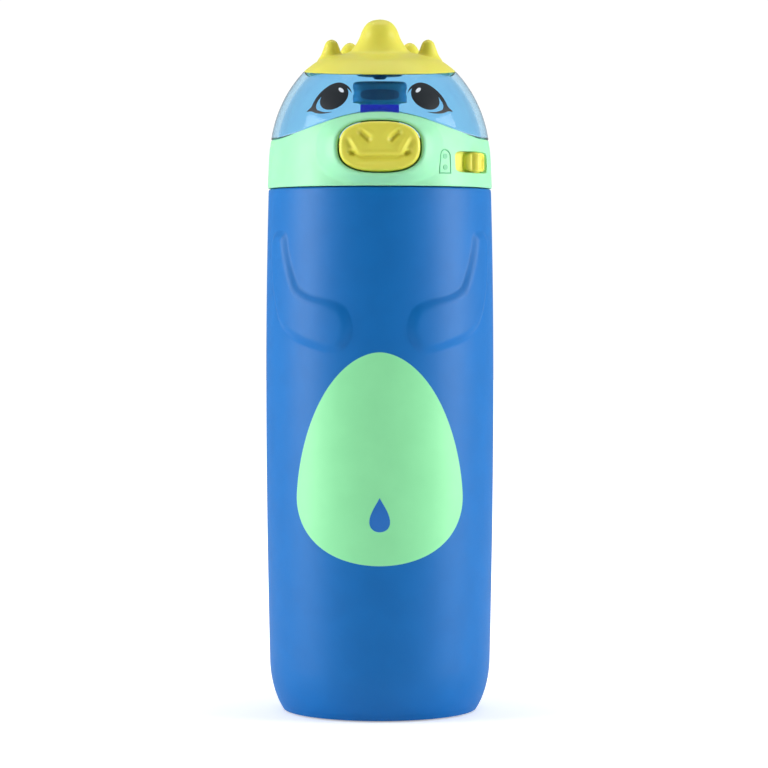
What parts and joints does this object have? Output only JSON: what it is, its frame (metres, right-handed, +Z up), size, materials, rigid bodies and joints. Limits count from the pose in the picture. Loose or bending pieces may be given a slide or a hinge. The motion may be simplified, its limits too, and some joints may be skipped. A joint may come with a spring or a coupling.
{
  "type": "kids insulated straw bottle",
  "caption": "Double-wall steel children's bottle with arm reliefs and a screw lid: flip-up clear dome with a toothed crest, oval push button, slide lock, soft spout and straw.",
  "frame": {"origin": "on the bottle's axis, at the flat underside of the foot", "axes": "+Z up along the bottle's axis; -Y towards the lid's push button, +Y towards the dome's hinge; +X on the side of the slide lock"},
  "size_m": [0.071, 0.078, 0.2153],
  "materials": {
    "blue_coat": "powder coat, satin, with a mint print on the belly",
    "bare_steel": "brushed stainless steel",
    "grey_silicone": "soft matte silicone",
    "mint_plastic": "satin moulded polypropylene",
    "teal_silicone": "soft matte silicone",
    "straw_plastic": "translucent polypropylene",
    "yellow_plastic": "satin moulded plastic",
    "clear_blue": "clear tinted copolyester"
  },
  "bodies": {
    "bottle": {"outer_shell": "blue_coat", "inner_flask": "bare_steel", "base_plate": "bare_steel", "getter_capsule": "bare_steel", "base_pad": "grey_silicone"},
    "lid_rise_ring": {"lid_gasket": "grey_silicone"},
    "lid": {"lid_collar": "mint_plastic", "lid_liner": "mint_plastic", "vent_valve": "grey_silicone", "spout": "teal_silicone", "straw": "straw_plastic", "hinge_pin": "bare_steel", "hinge_spring": "bare_steel", "button_spring_left": "bare_steel", "button_spring_right": "bare_steel"},
    "button": {"snout_button": "yellow_plastic", "latch_slide": "yellow_plastic"},
    "lock": {"lock_slider": "yellow_plastic"},
    "dome": {"dome_cover": "clear_blue", "crown": "yellow_plastic", "spout_stopper": "teal_silicone"}
  },
  "joints": [
    {"name": "lid_rise", "type": "slide", "parent": "bottle", "child": "lid_rise_ring", "axis": [0, 0, 1], "range_m": [0, 0.00384]},
    {"name": "lid_turn", "type": "hinge", "parent": "lid_rise_ring", "child": "lid", "pos_m": [0, 0, 0.17], "axis": [0, 0, 1], "range_deg": [0, 330]},
    {"name": "dome_flip", "type": "hinge", "parent": "lid", "child": "dome", "pos_m": [0, 0.0364, 0.18], "axis": [-1, 0, 0], "range_deg": [0, 112]},
    {"name": "button_press", "type": "slide", "parent": "lid", "child": "button", "axis": [0, 1, 0], "range_m": [0, 0.0025], "stiffness_N_per_m": 1200, "deforming": ["button_spring_left", "button_spring_right"]},
    {"name": "lock_slide", "type": "hinge", "parent": "lid", "child": "lock", "pos_m": [0, 0, 0.1704], "axis": [0, 0, -1], "range_deg": [0, 8.5]}
  ],
  "couplings": [
    {"joint": "lid_turn", "follows": "lid_rise", "rad_per_m": 1496}
  ]
}
